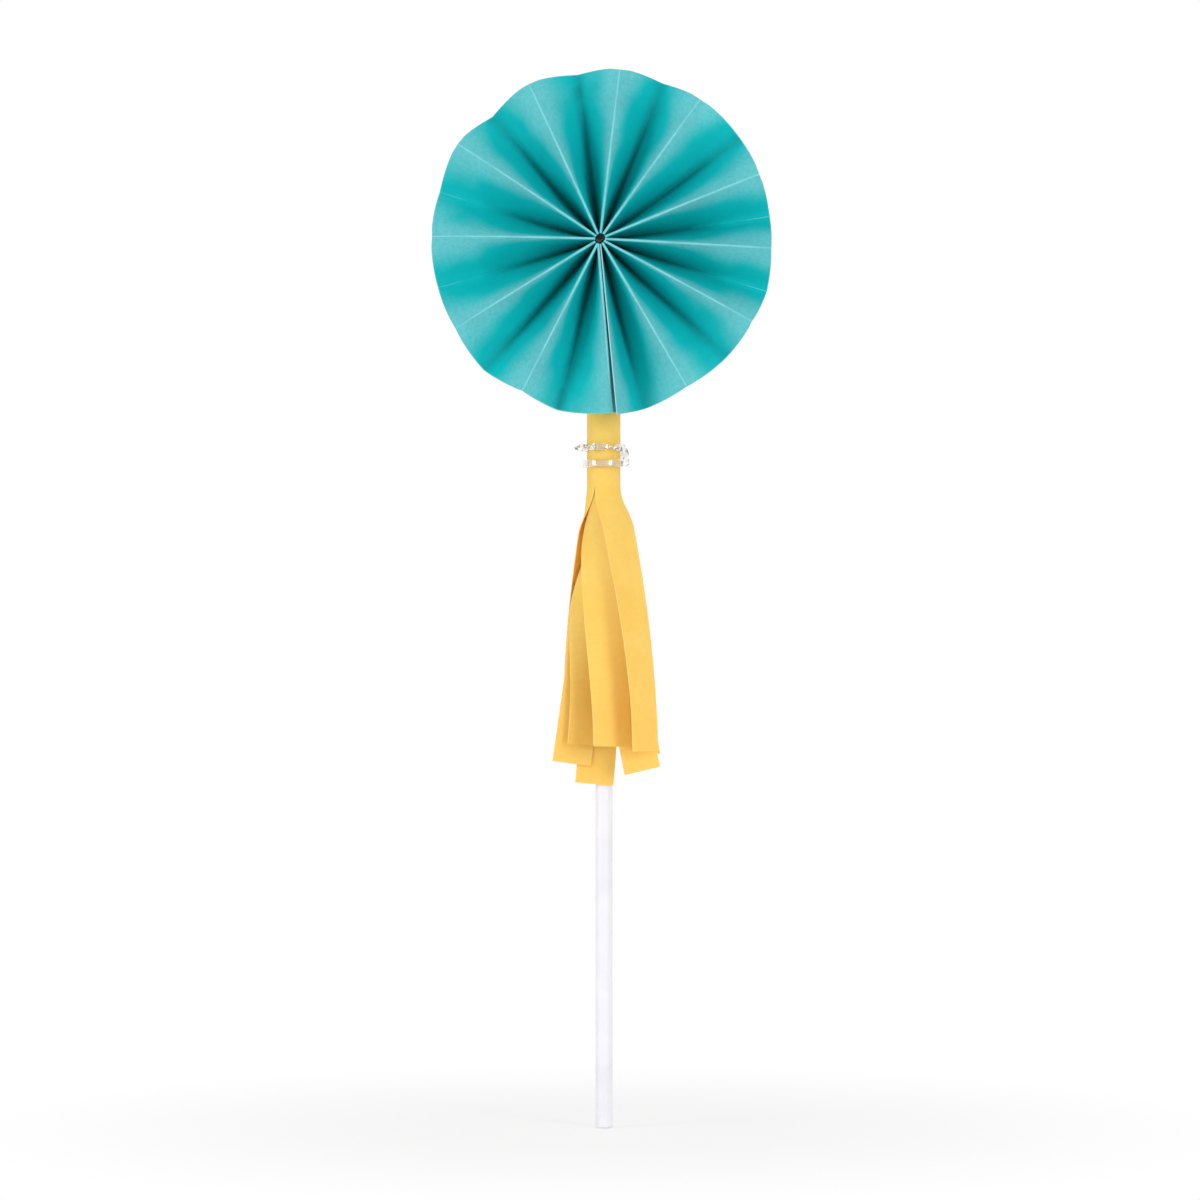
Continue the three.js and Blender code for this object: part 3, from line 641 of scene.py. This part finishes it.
def makeGlueDab():
    # a dome over the end of the stick: its height falls off as a rounded power of the distance from its
    # middle, with slow lumps; its flat underside lies on the disc
    rings, sectors = 24, 96
    out = np.linspace(0, 1, rings)[:, None]
    around = np.linspace(0, 2 * math.pi, sectors, endpoint=False)[None]
    wobble = 1 + 0.05 * np.sin(3 * around + 0.6) + 0.03 * np.sin(7 * around + 2.0)
    across = back["dabHalf"][0] * out * wobble * np.sin(around)
    up = back["dabHalf"][1] * out * wobble * np.cos(around)
    height = back["dabHeight"] * (1 - out ** 2.6) ** 0.62 * (1 + 0.05 * np.sin(1.1 * up + 0.4) * out)
    height = height + 0.25 * np.exp(-((across - 0.8) ** 2 + (up - 4.0) ** 2) / 3.0) * (1 - out)
    over = np.stack([across, back["dabBase"] + height, back["dabCentre"] + up], -1)
    under = np.stack([across, np.full_like(across, back["dabBase"]), back["dabCentre"] + up], -1)
    points = np.concatenate([over, under[::-1][1:]])
    piece = makePiece("glueDab", points, gridFaces(len(points), sectors, wrapColumns=True),
                      [hotGlueMaterial("hotGlue", **back["dabGlue"])])
    closePoles(piece)
    return piece


dab = makeGlueDab()
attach(dab, "topper")
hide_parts("stick_glue")
print("disc and glue made")


def dress(node, material):
    # a node of the CAD model that keeps its shape gets a better finish
    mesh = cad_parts[node].data
    mesh.materials.clear()
    mesh.materials.append(material)


# the hub glue's dark grey is painted shade for the hole
dress("hub_glue", hotGlueMaterial("hubGlue", **back["hubGlue"]))
dress("seam_tape", clearMaterial("clearTape", **back["tape"]))


# The stick

stick = {
    "length": 203.0, "radius": 1.9, "bore": 1.1, "endRounding": 0.12,
    "sides": 72, "outerRows": 41, "innerRows": 11,
    "plastic": {"thin": paint(229, 228, 234), "thick": paint(237, 236, 242)},
}


def makeStick():
    # a tube's wall, walked up the outside and down the bore, with its two cut ends rounded
    e = stick["endRounding"]
    quarter = np.linspace(0, math.pi / 2, 5)
    outer, inner, top = stick["radius"], stick["bore"], stick["length"]
    rows, innerRows = stick["outerRows"], stick["innerRows"]
    outside = np.stack([np.full(rows, outer), np.linspace(e, top - e, rows)], -1)
    topOuter = np.stack([outer - e + e * np.cos(quarter), top - e + e * np.sin(quarter)], -1)
    topInner = np.stack([inner + e - e * np.sin(quarter), top - e + e * np.cos(quarter)], -1)
    inside = np.stack([np.full(innerRows, inner), np.linspace(top - e, e, innerRows)], -1)
    lowInner = np.stack([inner + e - e * np.cos(quarter), e - e * np.sin(quarter)], -1)
    lowOuter = np.stack([outer - e + e * np.sin(quarter), e - e * np.cos(quarter)], -1)
    wall = np.concatenate([outside, topOuter[1:], topInner, inside[1:], lowInner[1:], lowOuter[:-1]])
    around = np.linspace(0, 2 * math.pi, stick["sides"], endpoint=False)
    points = np.stack([wall[:, :1] * np.cos(around), wall[:, :1] * np.sin(around),
                       np.repeat(wall[:, 1:], stick["sides"], 1)], -1)
    points = np.concatenate([points, points[:1]])
    piece = makePiece("stickTube", points, gridFaces(len(points), stick["sides"], wrapColumns=True),
                      [milkyPlasticMaterial(**stick["plastic"])])
    closePoles(piece)
    return piece


stickTube = makeStick()
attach(stickTube, "topper")
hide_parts("stick")
print("stick made")


# The tassel: one sheet rolled round the stick, and its ten strips, outermost first

tassel = {
    "rollRadius": 3.75, "rollPitch": 0.36, "rollBottom": 143.0, "rollLength": 18.5, "rollStart": -112.0,
    "paper": 0.2, "stripWidth": 8.6, "firstStripWidth": 5.1, "slit": 0.04, "bend": 0.14, "flattening": 0.96,
    "stripLength": 60.0, "spread": 10.0, "rows": 64, "columns": 18,
    "slip": 0.22, "sag": 0.25, "rollRows": 16, "rollStep": 4,
    "overhang": 0.3,     # added to every strip's drop
    "grainShift": 50.0,  # so that no two strips share their grain
}
# where each strip's end lies, as shares of the spread to the right and to the back, and which way it faces
# there; how long it is and how far it bulges; and by which share of its length it has turned and lies flat
tassel["strips"] = [
    {"end": (-0.774, 0.571), "facing": -121, "length": 0.901, "bulge": 0.32, "turned": 0.19, "flat": 0.16},
    {"end": (0.918, -1.345), "facing": 49, "length": 0.999, "bulge": 0.25, "turned": 0.9, "flat": 0.17},
    {"end": (0.405, 1.063), "facing": 179, "length": 0.955, "bulge": 0.6, "turned": 0.82, "flat": 0.37},
    {"end": (0.178, -1.144), "facing": 18, "length": 0.973, "bulge": 0.11, "turned": 1.0, "flat": 0.29},
    {"end": (0.973, 0.447), "facing": 131, "length": 1.003, "bulge": -0.07, "turned": 0.59, "flat": 0.36},
    {"end": (-0.394, -0.44), "facing": 14, "length": 0.959, "bulge": 0.08, "turned": 0.9, "flat": 0.47},
    {"end": (0.841, -0.916), "facing": -21, "length": 1.064, "bulge": -0.06, "turned": 0.88, "flat": 0.81},
    {"end": (-0.727, -0.327), "facing": 4, "length": 1.031, "bulge": -0.02, "turned": 0.73, "flat": 0.43},
    {"end": (0.502, -0.19), "facing": 89, "length": 0.945, "bulge": 0.03, "turned": 0.95, "flat": 0.79},
    {"end": (-0.218, -0.234), "facing": 4, "length": 1.103, "bulge": -0.39, "turned": 0.9, "flat": 0.89},
]


def spiralRadius(degrees):
    # the roll's radius shrinks by one pitch in each turn, from its outer edge inwards
    return tassel["rollRadius"] - tassel["rollPitch"] * (degrees - tassel["rollStart"]) / 360


def stripRoots():
    # walks each strip's width along the spiral, and gives the middle angle, the radius and the width
    roots, start = [], tassel["rollStart"]
    for k in range(len(tassel["strips"])):
        width = tassel["firstStripWidth"] if k == 0 else tassel["stripWidth"]
        guess = start + math.degrees(width / spiralRadius(start))
        radius = spiralRadius((start + guess) / 2)
        end = start + math.degrees(width / radius)
        roots.append(((start + end) / 2, radius, width - tassel["slit"]))
        start = end
    return roots, start


roots, rollEnd = stripRoots()


def makeRoll(material):
    # a spiral band: the radius shrinks by one pitch in each turn, seen from the front edge inwards
    columns = int((rollEnd - tassel["rollStart"]) / tassel["rollStep"])
    degrees = np.linspace(tassel["rollStart"], rollEnd, columns)[None]
    up = np.linspace(0, 1, tassel["rollRows"])[:, None]
    turn = np.radians(degrees)
    # the layers slipped a little against each other at the top as the sheet was rolled
    slip = (tassel["slip"] * np.sin(1.7 * turn) - tassel["sag"]) * up ** 4
    height = tassel["rollBottom"] + up * tassel["rollLength"] + slip

    def side(offset):
        radius = spiralRadius(degrees) + offset
        return np.stack(np.broadcast_arrays(radius * np.sin(turn), -radius * np.cos(turn), height), -1)

    run = -turn * (spiralRadius(degrees) + tassel["rollRadius"]) / 2
    uv = np.stack(np.broadcast_arrays(run * mm, up * tassel["rollLength"] * mm), -1)
    return makeSheet("tasselRoll", side(tassel["paper"] / 2), side(-tassel["paper"] / 2), uv,
                     [material, yellowCore])


def stripShare(t, bulge):
    # how far a strip has spread after a share t of its length: softened at the root, bulged on the way
    soft = lambda v: np.hypot(v, tassel["bend"]) - tassel["bend"]
    return soft(t) / soft(1.0) + 4 * bulge * (1 - t) * t ** 2 / (t + tassel["bend"] / 2)


def makeStrip(k, material):
    # the strip's section is an arc of the roll that turns round the stick and flattens on the way down
    form = tassel["strips"][k]
    middle, radius, width = roots[k]
    length = form["length"] * tassel["stripLength"]
    endX, endY = (share * tassel["spread"] for share in form["end"])
    first = middle - 360 * round((middle - form["facing"]) / 360)
    facingAt = lambda t: np.radians(first + (form["facing"] - first) * smoothstep(t, 0, form["turned"]))
    onRoll = lambda turn: (radius * np.sin(turn), -radius * np.cos(turn))
    startX, startY = onRoll(math.radians(first))
    restX, restY = onRoll(math.radians(form["facing"]))
    drop = math.sqrt(length ** 2 - (endX - startX) ** 2 - (endY - startY) ** 2) + tassel["overhang"]

    def centreAt(t):
        share = stripShare(t, form["bulge"])
        x, y = onRoll(facingAt(t))
        return np.stack([x + share * (endX - restX), y + share * (endY - restY),
                         tassel["rollBottom"] - t * drop], -1)

    t = np.linspace(0, 1, tassel["rows"])
    down = centreAt(np.minimum(t + 0.01, 1)) - centreAt(np.maximum(t - 0.01, 0))
    down[0] = (0, 0, -1)
    down /= np.linalg.norm(down, axis=-1, keepdims=True)
    turn = facingAt(t)
    across = np.cross(np.stack([np.sin(turn), -np.cos(turn), np.zeros_like(turn)], -1), down)
    across /= np.linalg.norm(across, axis=-1, keepdims=True)
    outward = np.cross(down, across)
    opened = smoothstep(t, 0, form["flat"])[:, None]
    curvature = (1 - tassel["flattening"] * opened) / radius
    tightening = (1 - opened) * tassel["rollPitch"] / (2 * math.pi)
    place = np.linspace(-0.5, 0.5, tassel["columns"])[None] * width
    bend = curvature * place

    def side(offset):
        reach = 1 / curvature + offset - tightening * bend
        return (centreAt(t)[:, None] + across[:, None] * (reach * np.sin(bend))[..., None]
                + outward[:, None] * (reach * np.cos(bend) - 1 / curvature)[..., None])

    run = t[:, None] * length * mm + tassel["grainShift"] * mm * k
    uv = np.stack(np.broadcast_arrays(place * mm, run), -1)
    return makeSheet(f"strip{k + 1:02d}", side(tassel["paper"] / 2), side(-tassel["paper"] / 2), uv,
                     [material, yellowCore])


yellowCore = paperCoreMaterial("yellowPaperCore", yellowSheet["edge"])
rollPiece = makeRoll(yellowPaperMaterial("yellowRoll", wrinkleDepth=3.0))
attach(rollPiece, "tassel")
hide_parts("tassel_roll")

narrowPaper = yellowPaperMaterial("yellowPaperNarrow", tassel["firstStripWidth"])
widePaper = yellowPaperMaterial("yellowPaper", tassel["stripWidth"])
movingStrips = {0: "left_strip", 1: "right_strip", 2: "back_strip"}
for k in range(len(tassel["strips"])):
    strip = makeStrip(k, narrowPaper if k == 0 else widePaper)
    if k in movingStrips:  # kept apart from the tassel's body, with its placing baked into its mesh
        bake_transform(strip)
    else:
        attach(strip, "tassel")
    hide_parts(f"tassel_strip_{k + 1:02d}")
print("tassel made")


# The elastic band

band = {
    "halfHeight": 0.84, "halfDepth": 0.43, "squareness": 0.5,  # 1 would make the section an ellipse
    "height": 149.7, "spread": 1.8, "softness": 0.14,
    "crossing": 108.0, "crossingGap": 0.18, "crossingShare": 0.05, "clearance": 0.08,
    "twists": 4, "twistFrom": 0.03, "twistTo": 0.47,  # shares of the loop
    "knuckleAngle": -88.0, "knuckleWidth": 15.0, "knuckle": 1.05,
    "ripplePitch": 1.6, "ripple": 0.06, "sections": 420, "sides": 24,
    "rubber": {"color": paint(254, 253, 253), "roughness": 0.08, "ior": 1.4, "waves": 500.0,
               "waveHeight": 0.018, "clarity": 0.93, "gloss": 1.0},
}


def makeBand():
    # one closed loop put twice round the roll; its section is a rounded bar that twists in the upper loop,
    # where it is also rippled and stands out in a knuckle
    t = np.linspace(0, 1, band["sections"], endpoint=False)
    wave = np.sin(2 * math.pi * t)
    level = wave * math.hypot(1, band["softness"]) / np.hypot(wave, band["softness"])
    lift = np.exp(-(np.minimum(t, 1 - t) / band["crossingShare"]) ** 2)
    twist = math.pi * band["twists"] * smoothstep(t, band["twistFrom"], band["twistTo"])
    upper = (smoothstep(t, band["twistFrom"], band["twistFrom"] + 0.06)
             * smoothstep(t, band["twistTo"], band["twistTo"] - 0.06))
    degrees = band["crossing"] + 720 * t
    off = (degrees - band["knuckleAngle"] + 180) % 360 - 180
    knuckle = band["knuckle"] * upper * np.exp(-(off / band["knuckleWidth"]) ** 2)
    run = np.radians(degrees) * (tassel["rollRadius"] + 0.5)
    swell = (1 + band["ripple"] * upper * np.sin(2 * math.pi * run / band["ripplePitch"]))[:, None]
    around = np.linspace(0, 2 * math.pi, band["sides"], endpoint=False)[None]
    power = band["squareness"]
    wide = band["halfHeight"] * np.sign(np.sin(around)) * np.abs(np.sin(around)) ** power
    deep = band["halfDepth"] * np.sign(np.cos(around)) * np.abs(np.cos(around)) ** power
    c, s = np.cos(twist)[:, None], np.sin(twist)[:, None]
    outward, upward = (deep * c + wide * s) * swell, (wide * c - deep * s) * swell
    # how far such a section reaches inwards at each twist, so that it stands clear of the roll all the way
    reach = 2 / (2 - power)
    stand = (np.abs(band["halfDepth"] * np.cos(twist)) ** reach
             + np.abs(band["halfHeight"] * np.sin(twist)) ** reach) ** (1 / reach) * swell[:, 0]
    radius = (tassel["rollRadius"] + tassel["paper"] / 2 + band["clearance"] + stand + knuckle
              + (2 * band["halfDepth"] + band["crossingGap"]) * lift)[:, None] + outward
    turn = np.radians(degrees)[:, None]
    points = np.stack([radius * np.sin(turn), -radius * np.cos(turn),
                       band["height"] + (band["spread"] * level)[:, None] + upward], -1)
    points = np.concatenate([points, points[:1]])
    piece = makePiece("clearBand", points, gridFaces(len(points), band["sides"], wrapColumns=True),
                      [clearMaterial("clearElastic", **band["rubber"])], sharpAngle=80)
    closePoles(piece)
    return piece


clearBand = makeBand()
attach(clearBand, "band")
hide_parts("elastic_band")
print("elastic band made")


# Floor, background and light

studio = {  # in metres and watts
    "floorHalf": 4, "floorDrop": 0.0002, "floorColor": (0.95, 0.95, 0.95, 1), "floorFade": (0.03, 0.16),
    "floorGlow": 0.6, "sky": 0.7, "aim": (0, 0, 0.13),
    "rightLight": {"place": (0.7, -0.98, 0.26), "width": 0.34, "height": 0.8, "power": 6.0},
    "leftLight": {"place": (-1.0, -0.62, 0.24), "width": 0.34, "height": 0.8, "power": 5.2},
}


def seenDirectly(n):
    # 1 for what the camera, a reflection or a clear material looks at, 0 for the light on the object
    rays = n.add("ShaderNodeLightPath").outputs
    return n.math("MAXIMUM", rays["Is Camera Ray"],
                  n.math("MAXIMUM", rays["Is Glossy Ray"], rays["Is Transmission Ray"]))


def makeFloor():
    # near the object it takes the shadow, further off it fades into the white background
    half, down = studio["floorHalf"], -studio["floorDrop"]
    mesh = bpy.data.meshes.new("floor")
    mesh.from_pydata([(-half, -half, down), (half, -half, down), (half, half, down), (-half, half, down)],
                     [], [(0, 1, 2, 3)])
    material = bpy.data.materials.new("paleFloor")
    material.use_nodes = True
    n = NodeTree(material.node_tree)
    shader = material.node_tree.nodes["Principled BSDF"]
    shader.inputs["Base Color"].default_value = studio["floorColor"]
    shader.inputs["Roughness"].default_value = 0.9
    shader.inputs["Specular IOR Level"].default_value = 0.1
    place = n.add("ShaderNodeTexCoord").outputs["Object"]
    distance = n.add("ShaderNodeVectorMath", operation="LENGTH", in_Vector=place).outputs["Value"]
    far = n.ramp(distance, *studio["floorFade"], studio["floorGlow"], 1.0)
    white = n.add("ShaderNodeEmission", in_Color=(1, 1, 1, 1), in_Strength=1.0)
    blend = n.add("ShaderNodeMixShader", in_Fac=n.math("MULTIPLY", far, seenDirectly(n)))
    n.tree.links.new(shader.outputs[0], blend.inputs[1])
    n.tree.links.new(white.outputs[0], blend.inputs[2])
    n.tree.links.new(blend.outputs[0], material.node_tree.nodes["Material Output"].inputs["Surface"])
    mesh.materials.append(material)
    floor = bpy.data.objects.new("floor", mesh)
    bpy.context.scene.collection.objects.link(floor)


def makeSky():
    # white where it is looked at, a plain pale light elsewhere
    world = bpy.data.worlds.new("studio")
    world.use_nodes = True
    n = NodeTree(world.node_tree)
    background = world.node_tree.nodes["Background"]
    background.inputs["Color"].default_value = (1, 1, 1, 1)
    strength = n.ramp(seenDirectly(n), 0.0, 1.0, studio["sky"], 1.0, smooth=False)
    n.feed(background.inputs["Strength"], strength)
    bpy.context.scene.world = world


def makeLight(name, place, width, height, power):
    # a soft rectangular lamp that faces the tassel
    data = bpy.data.lights.new(name, "AREA")
    data.shape, data.size, data.size_y, data.energy = "RECTANGLE", width, height, power
    light = bpy.data.objects.new(name, data)
    light.location = place
    direction = Vector(studio["aim"]) - Vector(place)
    light.rotation_euler = direction.to_track_quat("-Z", "Y").to_euler()
    bpy.context.scene.collection.objects.link(light)


makeFloor()
makeSky()
makeLight("rightLight", **studio["rightLight"])
makeLight("leftLight", **studio["leftLight"])
bpy.context.scene.view_settings.view_transform = "Standard"
print("studio made")
